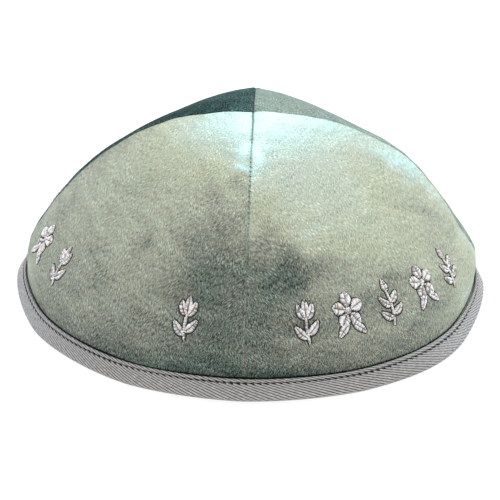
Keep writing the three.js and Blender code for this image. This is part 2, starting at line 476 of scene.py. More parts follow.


# Velvet panels. Each one's pile leans its own way, and each has its own tones, one for each row of the
# crown: painted light and shade, paler towards the top as a painted sheen and darker towards the rim,
# and the back left panel dark all over as painted shade. A gore's cool is its share of a painted teal
# shade tint. The nap table holds soft patches: painted shade over dents and painted highlights on
# creases and at the sides, together with places where the pile has been stroked another way.
panels = {
    "gores": [
        dict(
            name="panel_back_right",
            pile="lit",
            cool=0.7,
            tones=[0.34, 0.4, 0.48, 0.53, 0.55, 0.55, 0.54, 0.55, 0.59, 0.59],
            edges=((-0.3, 0.25), (0, 0)),
        ),
        dict(
            name="panel_back_left",
            pile="shaded",
            cool=1,
            tones=[0.26, 0.3, 0.34, 0.36, 0.32, 0.28, 0.28, 0.25, 0.27, 0.4],
            edges=((0, 0), (-0.1, -0.1)),
        ),
        dict(
            name="panel_front_left",
            pile="lit",
            cool=0,
            tones=[0.3, 0.46, 0.565, 0.59, 0.645, 0.665, 0.715, 0.84, 0.96, 0.99],
            edges=((0, 0), (0.5, -0.38)),
        ),
        dict(
            name="panel_front_right",
            pile="lit",
            cool=0,
            tones=[0.3, 0.48, 0.575, 0.625, 0.725, 0.76, 0.785, 0.875, 0.96, 0.98],
            edges=((0.22, -0.42), (-0.2, -0.4)),
        ),
    ],
    "edgeWidth": 0.45,  # mm, a gore's edges differ by two amounts, at the rim and at the top: painted highlight along the seam where above zero, painted shade where below
    "edgeMost": 0.2,
    "coolEdge": dict(amount=0.9, halfWidth=1.0),  # mm, painted teal shade along the seams, growing towards the top
    # The patches below are painted light and shade, with some marks of pile stroked another way.
    "napAndPaintedLight": [
        patch(-106, 11, 38, 6, -0.15),
        patch(-80, 10, 16, 4, -0.14),
        patch(-101, 41, 12, 14, -0.24),
        patch(-97, 22, 16, 9, -0.14),
        patch(-84, 40, 10, 12, -0.26),
        patch(-84, 22, 13, 8, -0.1),
        patch(-74, 42, 12, 5, -0.2),
        patch(-66, 38, 9, 3.5, -0.1),
        patch(-76, 23, 5, 5, -0.12),
        patch(-61, 27, 16, 5, -0.16),
        patch(-136, 27, 16, 3, -0.05),
        patch(-126, 43, 4, 3, -0.14),
        patch(-140, 36, 8, 2.5, -0.07),
        patch(-15, 42, 6, 4, -0.1),
        patch(-46, 14, 9, 3, -0.07),
        patch(-62, 19, 12, 4, 0.07),
        patch(-30, 32, 10, 5, 0.06),
        patch(-14, 14, 30, 15, 0.17),
        patch(-16, 9, 24, 7, 0.1),
        patch(-3, 34, 7, 26, 0.08),
        patch(38, 16, 26, 7, -0.14),  # the back is guessed
        patch(62, 38, 14, 12, -0.12),
        patch(22, 44, 12, 9, 0.08),
        patch(78, 20, 12, 9, 0.1),
        patch(128, 22, 22, 8, 0.1),
        patch(108, 46, 12, 12, 0.09),
        patch(150, 38, 16, 8, -0.08),
        patch(-5, 56, 8, 7, 0.1),
        patch(-31, 20, 9, 4, -0.1),
        patch(-45, 31, 9, 4, -0.08),
        patch(-79, 18.5, 4, 3, 0.11),
        patch(-66, 17, 12, 4, -0.07),
        patch(-72, 37, 5, 4, -0.08),
        patch(-72, 50, 9, 4, 0.05),
        patch(-95, 67, 5, 3, 0.12),
        patch(-122, 21, 9, 5, -0.07),
        patch(-175, 32.5, 12, 4, 0.06),
        patch(-169, 40, 9, 6, -0.03),
        patch(-140, 54, 14, 6, -0.02),
        patch(-101, 60, 5, 4, -0.06),
        patch(-4, 13, 7, 4, 0.12),
        patch(-25, 57, 10, 5, -0.03),
        patch(-25, 30, 12, 6, -0.03),
        patch(168, 52, 12, 20, -0.25),
        patch(-18, 49, 12, 7, -0.06),
        patch(-11, 8.5, 8, 3, 0.1),
        patch(-38, 20, 8, 4, -0.08),
        patch(-82, 33, 6, 5, -0.06),
        patch(-169, 12.5, 16, 7.5, 0.2),
        patch(-92, 68, 6, 3, 0.08),
    ],
    "strokeLength": 8,  # mm, how ragged the patches' edges are
    "strokeDepth": 5,
    "strokeStart": (3, 8, 5),  # where in the noise the strokes up the cloth start
    "columns": 110,
    "rows": 96,
    "hemArcs": [6.6, 6.9, 7.2, 7.5, 7.8, 8.1, 8.5],  # mm, extra rows just above the ribbon
    "edgeCrowding": 0.92,  # how much closer the columns lie at the seams
    "paintedHemShadow": dict(arc=7.1, halfWidth=0.3, amount=-0.6),  # painted shadow along the gap under the ribbon's upper edge
    "flatWidth": 136.3,  # mm, the gore's cut size
    "flatLength": 126,
    "flatShare": 0.585,  # of that rectangle is cloth
}


# A point's nap value: its row's painted light and shade, the patches, the painted shadow under the ribbon,
# and the painted highlight and shade along the seams.
def napAndPaintedLightAt(quarter, turn, step, point):
    tones = panels["gores"][quarter]["tones"]
    row = min(int(step), lastStep - 1)
    value = tones[row] + (tones[row + 1] - tones[row]) * (step - row)
    place = point / (panels["strokeLength"] * mm)
    ragged = Vector((noise.noise(place), noise.noise(place + Vector(panels["strokeStart"])), 0))
    ragged *= panels["strokeDepth"] * mm
    reach = math.hypot(point.x, point.y)
    azimuth = math.atan2(point.y, point.x) + ragged.x / max(reach, 0.01)
    value += patchSum(panels["napAndPaintedLight"], azimuth, reach, point.z + ragged.y)
    hem = panels["paintedHemShadow"]
    value += hem["amount"] * math.exp(-(((arcAtStep(step) / mm - hem["arc"]) / hem["halfWidth"]) ** 2))
    seamDistance = min(turn, 1 - turn) * panelWidth(step) / mm
    rimAmount, topAmount = panels["gores"][quarter]["edges"][round(turn)]
    amount = min(rimAmount + (topAmount - rimAmount) * step / lastStep, panels["edgeMost"])
    return value + amount * math.exp(-((seamDistance / panels["edgeWidth"]) ** 2))


# A point's share of the painted teal shade tint: its panel's own share, or more along the seams towards the
# top.
def coolnessAt(quarter, turn, step):
    edge = panels["coolEdge"]
    seamDistance = min(turn, 1 - turn) * panelWidth(step) / mm
    atStep = edge["amount"] * (step / lastStep) ** 2
    nearSeam = atStep * math.exp(-((seamDistance / edge["halfWidth"]) ** 2))
    return max(panels["gores"][quarter]["cool"], nearSeam)


def makePanel(quarter, velvet, velvetBack):
    name = panels["gores"][quarter]["name"]
    thickness = crown["clothThickness"] * mm
    seamInset = relief["seamGap"] / 2 * mm
    evenSteps = [lastStep * k / panels["rows"] for k in range(panels["rows"] + 1)]
    rowSteps = sorted(evenSteps + [stepAtArc(arc * mm) for arc in panels["hemArcs"]])
    bm = bmesh.new()
    turnLayer = bm.verts.layers.float.new("turn")
    rowLayer = bm.verts.layers.int.new("row")
    napAndPaintedLightLayer = bm.verts.layers.float.new("napAndPaintedLight")
    coolLayer = bm.verts.layers.float.new("cool")
    uvLayer = bm.loops.layers.uv.new("cloth")
    rows = len(rowSteps) - 1
    bmesh.ops.create_grid(bm, x_segments=panels["columns"], y_segments=rows, size=0.5)
    for vert in bm.verts:
        u = vert.co.x + 0.5
        crowding = panels["edgeCrowding"] * math.sin(2 * math.pi * u) / (2 * math.pi)
        vert[turnLayer] = min(max(u - crowding, 0), 1)
        vert[rowLayer] = round((vert.co.y + 0.5) * rows)
        step = rowSteps[vert[rowLayer]]
        vert.co = crownPoint(quarter, vert[turnLayer], step, seamInset=seamInset)
    for face in bm.faces:
        for loop in face.loops:
            step = rowSteps[loop.vert[rowLayer]]
            loop[uvLayer].uv = ((loop.vert[turnLayer] - 0.5) * panelWidth(step), arcAtStep(step))
    bm.normal_update()
    for vert in bm.verts:
        turn, step = vert[turnLayer], rowSteps[vert[rowLayer]]
        vert[napAndPaintedLightLayer] = napAndPaintedLightAt(quarter, turn, step, vert.co)
        vert[coolLayer] = coolnessAt(quarter, turn, step)
        outwards, sideways = clothRelief(vert.co, quarter, turn, step)
        vert.co = vert.co + vert.normal * outwards + roundTheCap(vert.co) * sideways
    grown = bmesh.ops.extrude_face_region(bm, geom=bm.faces[:], use_keep_orig=True)
    for part in grown["geom"]:
        if isinstance(part, bmesh.types.BMVert):
            turn, step = part[turnLayer], rowSteps[part[rowLayer]]
            part.co = crownPoint(quarter, turn, step, depth=thickness, seamInset=seamInset)
        if isinstance(part, bmesh.types.BMFace):
            part.material_index = 1
    bmesh.ops.remove_doubles(bm, verts=bm.verts, dist=1e-6)
    bmesh.ops.recalc_face_normals(bm, faces=bm.faces)
    piece = finishMesh(bm, "velvet_" + name, [velvet, velvetBack])
    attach(piece, "root")
    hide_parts(name)


# The back left panel has a shaded copy of the velvet with less gloss and sheen: painted shade.
velvets = {
    "lit": makeVelvet("shortPileVelvet", "lit"),
    "shaded": makeVelvet("shortPileVelvetShadedCopy", "shaded"),
}
velvetBack = makeVelvetBack()
for quarter, gore in enumerate(panels["gores"]):
    makePanel(quarter, velvets[gore["pile"]], velvetBack)
print("velvet panels made")


# Grey twill ribbon, woven of matt yarn in slanting ribs that cross its whole width. The gaps between
# the ribs are painted as thin dark lines of shade, which fade towards the sides, where the ribs are seen
# along.
binding = {
    "thickness": 0.9,
    "gap": 0.2,  # between the ribbon and the velvet
    "flare": dict(amount=1.5, atEdge=0.7, halfTurn=24),  # mm at the fold, less at its edge, degrees
    "channelDepth": 0.3,  # how far the channel goes below the cloth's edge
    "outerFlap": 7.2,
    "innerFlap": 7.2,
    "ribCount": 210,
    "columnsPerRib": 7,
    "ribSlope": 21,  # degrees to the rim
    "ribDepth": 0.13,
    "stitchLine": 1.6,  # below the upper edge
    "stitchGroove": dict(depth=0.22, width=0.55),
    "flatWidth": 22,  # mm, the ribbon's cut width
}
ribbonLook = {
    "tones": [(0.0, "#1e1d1d"), (0.3, "#575552"), (0.6, "#9a9895"), (1.0, "#cbc9c6")],
    "yarnSize": (1.6, 0.3),  # mm, along and across a rib
    "yarnShare": 0.65,
    "ground": 0.71,
    "gapShadeShare": 1.3,  # how dark the painted shade in the gap between two ribs is
    "gapMean": 0.11,  # kept where the ribs fade
    "fade": dict(start=30, end=72, share=0.3),  # mm from the cap's middle plane
    "sewnShade": dict(amount=0.5, width=0.3),  # painted shade along the groove where the ribbon is pulled in by its stitches
    "gapSharpness": 3,
    "bumpDepth": 0.05,
    "roughness": 0.6,
}


def makeTwill(rimLength):
    look = ribbonLook
    material, tree = newMaterial("greyTwillRibbon")
    cloth = addNode(tree, "ShaderNodeUVMap", uv_map="cloth")
    split = addNode(tree, "ShaderNodeSeparateXYZ", {"Vector": cloth})
    around, down = split.outputs["X"], split.outputs["Y"]
    ribAngle = math.radians(binding["ribSlope"])
    slant = 1 / math.tan(ribAngle)
    unslanted = addNode(tree, "ShaderNodeMath", {0: down, 1: -slant, 2: around}, operation="MULTIPLY_ADD")
    ribTurn = 2 * math.pi * binding["ribCount"] / rimLength
    angle = addNode(tree, "ShaderNodeMath", {0: unslanted, 1: ribTurn}, operation="MULTIPLY")
    rib = addNode(tree, "ShaderNodeMath", {0: angle}, operation="COSINE")
    betweenRibs = addNode(tree, "ShaderNodeMapRange", {"Value": rib, 1: 0.0, 2: -1.0})
    gap = addNode(tree, "ShaderNodeMath", {0: betweenRibs, 1: look["gapSharpness"]}, operation="POWER")
    turned = addNode(tree, "ShaderNodeMapping", {"Vector": cloth, "Rotation": (0, 0, -ribAngle)})
    scale = [1 / (length * mm) for length in look["yarnSize"]] + [1]
    drawn = addNode(tree, "ShaderNodeMapping", {"Vector": turned, "Scale": scale})
    inputs = {"Vector": drawn, "Scale": 1.0, "Detail": 1.0}
    yarn = addNode(tree, "ShaderNodeTexNoise", inputs, noise_dimensions="2D")
    centred = addNode(tree, "ShaderNodeMath", {0: yarn, 1: 0.5}, operation="SUBTRACT")
    inputs = {0: centred, 1: look["yarnShare"], 2: look["ground"]}
    ground = addNode(tree, "ShaderNodeMath", inputs, operation="MULTIPLY_ADD")
    # The painted shade between the ribs fades with the distance from the cap's middle plane.
    place = addNode(tree, "ShaderNodeTexCoord").outputs["Object"]
    fromMiddle = addNode(tree, "ShaderNodeSeparateXYZ", {"Vector": place}).outputs["X"]
    sideways = addNode(tree, "ShaderNodeMath", {0: fromMiddle}, operation="ABSOLUTE")
    fade, mean = look["fade"], look["gapMean"]
    inputs = {"Value": sideways, 1: fade["start"] * mm, 2: fade["end"] * mm, 3: 1.0, 4: fade["share"]}
    shown = addNode(tree, "ShaderNodeMapRange", inputs)
    uneven = addNode(tree, "ShaderNodeMath", {0: gap, 1: mean}, operation="SUBTRACT")
    faded = addNode(tree, "ShaderNodeMath", {0: uneven, 1: shown, 2: mean}, operation="MULTIPLY_ADD")
    inputs = {0: faded, 1: -look["gapShadeShare"], 2: ground}
    ribbed = addNode(tree, "ShaderNodeMath", inputs, operation="MULTIPLY_ADD")
    # Painted shade along the stitch groove.
    sewn = look["sewnShade"]
    sewnAt = binding["stitchLine"] * mm
    belowSewing = addNode(tree, "ShaderNodeMath", {0: down, 1: sewnAt}, operation="SUBTRACT")
    fromSewing = addNode(tree, "ShaderNodeMath", {0: belowSewing}, operation="ABSOLUTE")
    inputs = {"Value": fromSewing, 1: 0.0, 2: sewn["width"] * mm, 3: 1.0, 4: 0.0}
    grooveShade = addNode(tree, "ShaderNodeMapRange", inputs)
    inputs = {0: grooveShade, 1: -sewn["amount"], 2: ribbed}
    tone = addNode(tree, "ShaderNodeMath", inputs, operation="MULTIPLY_ADD")
    colour = addNode(tree, "ShaderNodeValToRGB", {"Fac": tone}, look["tones"])
    bump = addNode(tree, "ShaderNodeBump", {"Height": tone, "Distance": look["bumpDepth"] * mm})
    shader = addNode(
        tree,
        "ShaderNodeBsdfPrincipled",
        {"Base Color": colour, "Roughness": look["roughness"], "IOR": 1.5, "Normal": bump},
    )
    addNode(tree, "ShaderNodeOutputMaterial", {"Surface": shader})
    return material


# The ribbon's section as (depth into the cloth, distance up the cloth, slant, rib), in mm. It runs down
# the outside, round the fold, up the inside and back through the channel that holds the cloth.
def bindingSection():
    outerFace = -(binding["gap"] + binding["thickness"])
    innerFace = crown["clothThickness"] + binding["gap"] + binding["thickness"]
    halfThickness = binding["thickness"] / 2
    section = []

    def addArc(centreDepth, centreUp, radiusDepth, radiusUp, startAngle, endAngle, points):
        for k in range(points):
            angle = math.radians(startAngle + (endAngle - startAngle) * k / points)
            depth = centreDepth + radiusDepth * math.cos(angle)
            section.append((depth, centreUp + radiusUp * math.sin(angle)))

    def addFace(depth, start, end, points):
        for k in range(points):
            section.append((depth, start + (end - start) * k / points))

    outerTop = binding["outerFlap"] - halfThickness
    innerTop = binding["innerFlap"] - halfThickness
    foldMiddle, foldHalf = (outerFace + innerFace) / 2, (innerFace - outerFace) / 2
    foldDrop, channelEnd = binding["thickness"] + binding["channelDepth"], -binding["channelDepth"]
    addArc(outerFace + halfThickness, outerTop, halfThickness, halfThickness, 90, 180, 4)
    addFace(outerFace, outerTop, 0, 13)
    addArc(foldMiddle, 0, foldHalf, foldDrop, 180, 360, 12)
    addFace(innerFace, 0, innerTop, 7)
    addArc(innerFace - halfThickness, innerTop, halfThickness, halfThickness, 0, 180, 6)
    visible = len(section)
    addFace(innerFace - 2 * halfThickness, innerTop, channelEnd, 2)
    addFace(outerFace + 2 * halfThickness, channelEnd, outerTop, 2)
    addArc(outerFace + halfThickness, outerTop, halfThickness, halfThickness, 0, 90, 3)
    return section, visible


# The ribbon isn't pulled tight at the side seams, so it stands off the cloth there.
def flared(point):
    flare = binding["flare"]
    offSide = math.degrees(math.atan2(abs(point.y), abs(point.x)))
    edgeShare = min(point.z / (binding["outerFlap"] * mm), 1)
    amount = flare["amount"] * (1 + (flare["atEdge"] - 1) * edgeShare)
    outwards = amount * mm * math.exp(-((offSide / flare["halfTurn"]) ** 2))
    return point + Vector((math.copysign(outwards, point.x), 0, 0))


def makeBinding():
    section, visible = bindingSection()
    ring = section + section[:1]
    lengths = [0.0]
    for (depth, up), (lastDepth, lastUp) in zip(ring[1:], ring):
        lengths.append(lengths[-1] + math.hypot(depth - lastDepth, up - lastUp))
    slants = lengths[: visible + 1]
    hidden = len(ring) - len(slants)
    slants += [slants[-1] * (1 - (k + 1) / hidden) for k in range(hidden)]
    rimRadius = crown["rows"][0]["seamRadius"] * mm
    rimLength = 2 * math.pi * rimRadius
    columns = binding["ribCount"] * binding["columnsPerRib"]
    slope = math.tan(math.radians(binding["ribSlope"]))

    def placeAt(column, index):
        around = column / columns + slants[index] * mm / slope / rimLength
        quarterPlace = (around % 1) * 4
        depth, up = ring[index]
        step = stepAtArc(max(up, 0) * mm)
        return int(quarterPlace) % 4, quarterPlace % 1, step, depth * mm, min(up, 0) * mm

    bm = bmesh.new()
    uvLayer = bm.loops.layers.uv.new("cloth")
    bmesh.ops.create_grid(bm, x_segments=columns, y_segments=len(section), size=0.5)
    order = sorted(bm.verts, key=lambda vert: (round(vert.co.y, 6), vert.co.x))
    places = {}
    for number, vert in enumerate(order):
        places[vert] = (number % (columns + 1), number // (columns + 1))
    for face in bm.faces:
        for loop in face.loops:
            column, index = places[loop.vert]
            around = column / columns * rimLength + slants[index] * mm / slope
            loop[uvLayer].uv = (around, lengths[index] * mm)
    for vert, (column, index) in places.items():
        quarter, turn, step, depth, along = placeAt(column, index)
        groove = binding["stitchGroove"]
        rib = math.cos(2 * math.pi * column / binding["columnsPerRib"])
        raised = binding["ribDepth"] / 2 * rib if index <= visible and index > 0 else 0
        if lengths[index] < binding["outerFlap"]:
            near = (lengths[index] - binding["stitchLine"]) / groove["width"]
            raised -= groove["depth"] * math.exp(-(near**2))
        outwards = -1 if depth < crown["clothThickness"] * mm / 2 else 1
        here = depth + outwards * raised * mm
        vert.co = flared(crownPoint(quarter, turn, step, depth=here, along=along))
    bmesh.ops.remove_doubles(bm, verts=bm.verts, dist=1e-6)
    bmesh.ops.recalc_face_normals(bm, faces=bm.faces)
    piece = finishMesh(bm, "twill_rim_binding", [makeTwill(rimLength)])
    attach(piece, "root")
    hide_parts("rim_binding")


makeBinding()
print("ribbon binding made")


# Sewing thread and embroidery. Every stitch is a ball drawn out between two places on the cloth.
threads = {
    "sides": 5,
    "rings": 6,
    "ribbonStitch": dict(count=221, length=2.0, radius=0.28, slant=25, lift=0.04),
    "seamStitch": dict(pitch=2.2, length=1.0, radius=0.16, sink=0.55, lean=0.3),
    "seamEnds": dict(fromHem=1, fromTop=2, paleBelow=0.5),  # a seam's thread is painted pale near the rim as a painted highlight and dark towards the top as painted shade
    "satin": dict(
        pitch=0.42, radius=0.2, slant=62, arch=0.3, archShare=0.12, jitter=0.16, sink=0.05, shortest=0.3
    ),
    # The dark outline just outside each shape stands for the shadow round the raised embroidery: painted
    # shadow.
    "outline": dict(radius=0.22, outside=0.26, points=13, overlap=0.25),
    "knot": dict(radius=0.42, arch=0.1),
    "sewing": dict(fluffLength=0.4, fluffShare=0.8, roughness=0.8, specular=0.2),
    "shades": (0.0, 1.0),
    "seed": 11,
}


def planStitch(surface, start, end, radius, arch=0.0, sink=0.0, shade=1.0):
    along = end - start
    side = Vector((-along.y, along.x)).normalized() * radius
    return dict(
        surface=surface, start=start, along=along, side=side, radius=radius, arch=arch, sink=sink, shade=shade
    )


# Makes a piece from planned stitches: one ball is doubled until there are enough, and each is drawn out.
def sewPiece(name, stitches, material):
    bm = bmesh.new()
    numberLayer = bm.verts.layers.int.new("stitch")
    shadeLayer = bm.verts.layers.float.new("shade")
    bmesh.ops.create_uvsphere(bm, u_segments=threads["sides"], v_segments=threads["rings"], radius=1)
    made = 1
    while made < len(stitches):
        copies = bmesh.ops.duplicate(bm, geom=bm.verts[:] + bm.edges[:] + bm.faces[:])
        for part in copies["geom"]:
            if isinstance(part, bmesh.types.BMVert):
                part[numberLayer] += made
        made *= 2
    spare = [vert for vert in bm.verts if vert[numberLayer] >= len(stitches)]
    bmesh.ops.delete(bm, geom=spare, context="VERTS")
    for vert in bm.verts:
        stitch = stitches[vert[numberLayer]]
        x, y, t = vert.co
        place = stitch["start"] + stitch["along"] * (t + 1) / 2 + stitch["side"] * x
        point, normal = stitch["surface"](place)
        height = stitch["arch"] * (1 - t * t) + y * stitch["radius"] - stitch["sink"]
        vert.co = point + normal * height * mm
        vert[shadeLayer] = stitch["shade"]
    bmesh.ops.recalc_face_normals(bm, faces=bm.faces)
    piece = finishMesh(bm, name, [material])
    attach(piece, "root")


# Matt spun sewing thread, dull and slightly fluffy. Its tone runs between two colours; in the seams it
# runs from the rim to the top, paler below as a painted highlight and darker above as painted shade.
def makeSewingThread(name, hexColours):
    look = threads["sewing"]
    material, tree = newMaterial(name)
    shade = addNode(tree, "ShaderNodeAttribute", attribute_name="shade").outputs["Fac"]
    place = addNode(tree, "ShaderNodeTexCoord").outputs["Object"]
    fluff = addNode(tree, "ShaderNodeTexNoise", {"Vector": place, "Scale": 1 / (look["fluffLength"] * mm)})
    centred = addNode(tree, "ShaderNodeMath", {0: fluff, 1: 0.5}, operation="SUBTRACT")
    inputs = {0: centred, 1: look["fluffShare"], 2: shade}
    mixed = addNode(tree, "ShaderNodeMath", inputs, operation="MULTIPLY_ADD")
    colour = addNode(tree, "ShaderNodeValToRGB", {"Fac": mixed}, list(zip((0.0, 1.0), hexColours)))
    shader = addNode(
        tree,
        "ShaderNodeBsdfPrincipled",
        {
            "Base Color": colour,
            "Roughness": look["roughness"],
            "IOR": 1.5,
            "Specular IOR Level": look["specular"],
        },
    )
    addNode(tree, "ShaderNodeOutputMaterial", {"Surface": shader})
    return material


# The ribbon is sewn through near its upper edge, and the same stitches show inside the cap.
def makeRibbonStitches(thread):
    settings = threads["ribbonStitch"]
    arc = binding["outerFlap"] - binding["stitchLine"]
    reach = binding["gap"] + binding["thickness"] - binding["stitchGroove"]["depth"]
    circumference = 2 * math.pi * profileAt(stepAtArc(arc * mm))[0] / mm
    halfStitch = settings["length"] / 2
    rise = halfStitch * math.tan(math.radians(settings["slant"]))
    stitches = []
    for depth, outside in ((-reach, 1), (crown["clothThickness"] + reach, -1)):
        for number in range(settings["count"]):
            centre = number / settings["count"] * circumference

            def surface(place, centre=centre, depth=depth, outside=outside):
                turned = ((centre + place.x) / circumference % 1) * 4
                quarter, turn = int(turned) % 4, turned % 1
                step = stepAtArc((arc + place.y) * mm)
                point = flared(crownPoint(quarter, turn, step, depth=depth * mm))
                return point, point.normalized() * outside

            start, end = Vector((-halfStitch, rise)), Vector((halfStitch, -rise))
            stitches.append(planStitch(surface, start, end, settings["radius"], sink=-settings["lift"]))
    sewPiece("ribbon_stitches", stitches, thread)


# The seams' own stitches, low in the groove between two panels.
def makeSeamStitches(thread):
    settings = threads["seamStitch"]
    stitches = []
    ends = threads["seamEnds"]
    firstArc, lastArc = relief["hemArc"] + ends["fromHem"], arcAtStep(lastStep) / mm - ends["fromTop"]
    count = int((lastArc - firstArc) / settings["pitch"])
    for quarter in range(4):
        for number in range(count):
            step = stepAtArc((firstArc + number * settings["pitch"]) * mm)
            middle = crownPoint(quarter, 0, step)
            outwards = Vector((middle.x, middle.y, 0)).normalized()
            above, below = crownPoint(quarter, 0, step + 0.02), crownPoint(quarter, 0, step - 0.02)
            upSeam = (above - below).normalized()
            across = roundTheCap(middle)
            normal = upSeam.cross(across) * (1 if upSeam.cross(across).dot(outwards) > 0 else -1)
            seat = middle - normal * settings["sink"] * mm

            def surface(place, seat=seat, across=across, upSeam=upSeam, normal=normal):
                return seat + across * place.x * mm + upSeam * place.y * mm, normal

            start = Vector((-settings["length"] / 2, settings["lean"]))
            # Paler towards the rim and darker towards the top: painted highlight and painted shade.
            shade = number / count * min(number / count / ends["paleBelow"], 1)
            stitches.append(planStitch(surface, start, -start, settings["radius"], shade=shade))
    sewPiece("seam_stitches", stitches, thread)


makeRibbonStitches(makeSewingThread("blackSewingThread", ("#1a1c1e", "#050606")))
makeSeamStitches(makeSewingThread("greenSewingThread", ("#8a8d7c", "#22403d")))
# A dark thread laid round each motif is painted shadow.
shadowOutlineThread = makeSewingThread("darkShadowOutlineThread", ("#474d47", "#262b27"))
print("sewing thread made")


# Embroidered sprigs and blossoms. Each shape is a curved spine with a width, filled with satin
# stitches, in mm about the motif's middle. A leaf's halves meet on its spine.
motifs = {
    "bud": [
        dict(kind="stem", spine=[(0.5, -7.6), (-0.5, -3), (0, 1.5)], width=1.2),
        dict(kind="leaf", spine=[(0, -5.6), (-2.2, -4.6), (-4.4, -0.9)], width=2.7),
        dict(kind="leaf", spine=[(0, -4.4), (2.2, -3.4), (4.3, 0.3)], width=2.7),
        dict(kind="leaf", spine=[(-0.3, 1), (-2.4, 3), (-2.6, 6.2)], width=2.5),
        dict(kind="leaf", spine=[(0.3, 1), (2.4, 3), (2.6, 6.2)], width=2.5),
        dict(kind="leaf", spine=[(0, 1), (0, 4), (0, 7.8)], width=3),
    ],
    "sprig": [
        dict(kind="stem", spine=[(-1.4, -7.6), (0.9, -2), (0, 4)], width=1.1),
        dict(kind="leaf", spine=[(-0.6, -5), (-3, -4.6), (-5.2, -1.9)], width=2.4),
        dict(kind="leaf", spine=[(-0.1, -3.7), (2.4, -3.6), (4.9, -1.3)], width=2.4),
        dict(kind="leaf", spine=[(0, -1), (-2.3, -0.3), (-4.1, 2.8)], width=2.4),
        dict(kind="leaf", spine=[(0.2, 0.1), (2.3, 0.6), (4.2, 3.4)], width=2.4),
        dict(kind="leaf", spine=[(0, 3.6), (0.3, 5.4), (0, 8)], width=2.6),
    ],
    "blossom": [
        dict(kind="leaf", spine=[(-0.6, -3), (-3.4, -4), (-5.4, -7)], width=2.6),
        dict(kind="leaf", spine=[(0.6, -3), (3.4, -4), (5.4, -7)], width=2.6),
        dict(kind="petals", centre=(0, 1.6), count=5, inner=1.3, outer=6.2, width=4.3),
        dict(kind="knots", centre=(0, 1.6), count=6, reach=0.85),
    ],
}
embroidery = {
    "arc": 26.6,  # mm up the cloth, the motifs' middle
    "patchSpacing": 2,  # mm, the grid on which a motif's stretch of cloth is measured
    "patchReach": 5,
    "stemEnds": 0.55,  # a stem's width at its ends, as a share
    "leafForm": dict(fullest=0.85, roundness=0.75, tip=0.06),
    "places": {  # each motif's turn on its panel
        "panel_front_right": [
            ("bud", 0.175),
            ("blossom", 0.305),
            ("sprig", 0.45),
            ("blossom", 0.595),
            ("sprig", 0.745),
        ],
        "panel_front_left": [("blossom", 0.165), ("bud", 0.325), ("bud", 0.83)],
        "panel_back_left": [("bud", 0.17), ("bud", 0.675), ("blossom", 0.835)],
        "panel_back_right": [
            ("sprig", 0.255),
            ("blossom", 0.405),
            ("sprig", 0.55),
            ("blossom", 0.695),
            ("bud", 0.825),
        ],
    },
}


# Silver thread: smooth bright rayon whose strands glint one by one. The strands' colours, picked at
# random from dark grey through peach to near white, are painted glints and dark gaps beside the
# shader's own gloss.
silverLook = {
    "tones": [(0.0, "#736c6e"), (0.3, "#cfc9ca"), (0.5, "#f0dccb"), (0.6, "#e6e4e8"), (1.0, "#fbfbfd")],
    "roughness": 0.28,
    "sheen": 0.2,
}


def makeSilverThread():
    look = silverLook
    material, tree = newMaterial("silverRayonThread")
    shade = addNode(tree, "ShaderNodeAttribute", attribute_name="shade").outputs["Fac"]
    colour = addNode(tree, "ShaderNodeValToRGB", {"Fac": shade}, look["tones"])
    shader = addNode(
        tree,
        "ShaderNodeBsdfPrincipled",
        {
            "Base Color": colour,
            "Roughness": look["roughness"],
            "IOR": 1.5,
            "Sheen Weight": look["sheen"],
        },
    )
    addNode(tree, "ShaderNodeOutputMaterial", {"Surface": shader})
    return material


# Measures the cloth once about a motif and then reads between the measured points.
def measureCloth(quarter, turn, arc):
    spacing, reach = embroidery["patchSpacing"], embroidery["patchReach"]
    nodes = {}
    for i in range(-reach, reach + 1):
        for j in range(-reach, reach + 1):
            step = stepAtArc((arc + j * spacing) * mm)
            nodes[i, j] = clothFace(quarter, turn + i * spacing * mm / panelWidth(step), step)

    def surface(place):
        x, y = place.x / spacing, place.y / spacing
        i = min(max(math.floor(x), -reach), reach - 1)
        j = min(max(math.floor(y), -reach), reach - 1)
        u, v = x - i, y - j
        lower = [a.lerp(b, u) for a, b in zip(nodes[i, j], nodes[i + 1, j])]
        upper = [a.lerp(b, u) for a, b in zip(nodes[i, j + 1], nodes[i + 1, j + 1])]
        point, normal = [a.lerp(b, v) for a, b in zip(lower, upper)]
        return point, normal.normalized()

    return surface


def alongSpine(spine, t):
    a, b, c = [Vector(point) for point in spine]
    place = a * (1 - t) ** 2 + b * 2 * t * (1 - t) + c * t**2
    heading = ((b - a) * (1 - t) + (c - b) * t).normalized()
    return place, heading


def halfWidthAt(shape, t):
    if shape["kind"] == "stem":
        return shape["width"] / 2 * min(1, embroidery["stemEnds"] + 3 * t * (1 - t))
    form = embroidery["leafForm"]
    return shape["width"] / 2 * (math.sin(math.pi * t ** form["fullest"]) ** form["roundness"] + form["tip"])


def fillWithSatin(surface, shape, rng):
    look = threads["satin"]
    spine = shape["spine"]
    length = (Vector(spine[1]) - Vector(spine[0])).length + (Vector(spine[2]) - Vector(spine[1])).length
    count = round(length / look["pitch"])
    halves = ((-1, 1),) if shape["kind"] == "stem" else ((0, 1), (0, -1))
    lean = math.tan(math.radians(90 - look["slant"])) / 2
    stitches = []
    for sides in halves:
        for number in range(count):
            t = (number + 0.5) / count
            place, heading = alongSpine(spine, t)
            left = Vector((-heading.y, heading.x))
            half = halfWidthAt(shape, t)
            ends = []
            for side in sides:
                wander = rng.uniform(-1, 1) * look["jitter"]
                outwards = left * side * (half + (wander if side else 0))
                ends.append(place + outwards + heading * abs(side) * lean * half)
            width = (ends[1] - ends[0]).length
            if width < look["shortest"]:
                continue
            arch = look["arch"] + look["archShare"] * width
            shade = rng.uniform(*threads["shades"])
            stitches.append(planStitch(surface, *ends, look["radius"], arch, look["sink"], shade))
    return stitches


